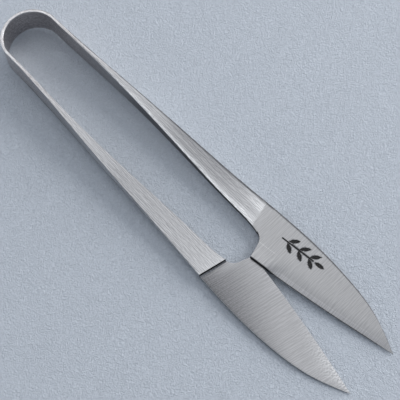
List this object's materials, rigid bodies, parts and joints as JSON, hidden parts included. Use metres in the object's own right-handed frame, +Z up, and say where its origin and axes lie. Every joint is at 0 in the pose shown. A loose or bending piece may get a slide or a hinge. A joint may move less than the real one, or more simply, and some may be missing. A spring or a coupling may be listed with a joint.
{
  "type": "floral snips",
  "caption": "One-piece spring snips for flower stems: a U-shaped iron spring bow, flat tapering arms and short pointed blades with a forge-welded cutting steel.",
  "frame": {"origin": "centre of the snips' length and width, at the height of the bow's lower edge, which is the lowest point", "axes": "+Y from the spring bow to the blade tips, +Z up through the upper blade, +X to the right, where the lower blade is"},
  "size_m": [0.0294, 0.15, 0.0094],
  "materials": {
    "spring_bow": "polished bright rim, satin dark inner face",
    "forged_iron": "ground lengthwise, satin",
    "blade_iron": "ground crosswise, satin, stamped leaf sprig",
    "cutting_steel": "ground crosswise, fine satin with a honed edge"
  },
  "bodies": {
    "bow": {"bow_crown": "spring_bow", "bow_left_leg": "spring_bow", "bow_right_leg": "spring_bow"},
    "left_half": {"left_arm": "forged_iron", "upper_blade_back": "blade_iron", "upper_cutting_steel": "cutting_steel"},
    "right_half": {"right_arm": "forged_iron", "lower_blade_back": "blade_iron", "lower_cutting_steel": "cutting_steel"}
  },
  "joints": [
    {"name": "left_squeeze", "type": "hinge", "parent": "bow", "child": "left_half", "pos_m": [-0.0057, -0.0717, 0.0047], "axis": [0, 0, -1], "range_deg": [0, 3.2], "stiffness_Nm_per_rad": 8.9, "deforming": ["bow_left_leg"]},
    {"name": "right_squeeze", "type": "hinge", "parent": "bow", "child": "right_half", "pos_m": [0.0057, -0.0717, 0.0047], "axis": [0, 0, 1], "range_deg": [0, 3.2], "stiffness_Nm_per_rad": 8.9, "deforming": ["bow_right_leg"]}
  ],
  "couplings": [
    {"joint": "right_squeeze", "follows": "left_squeeze", "ratio": 1}
  ]
}
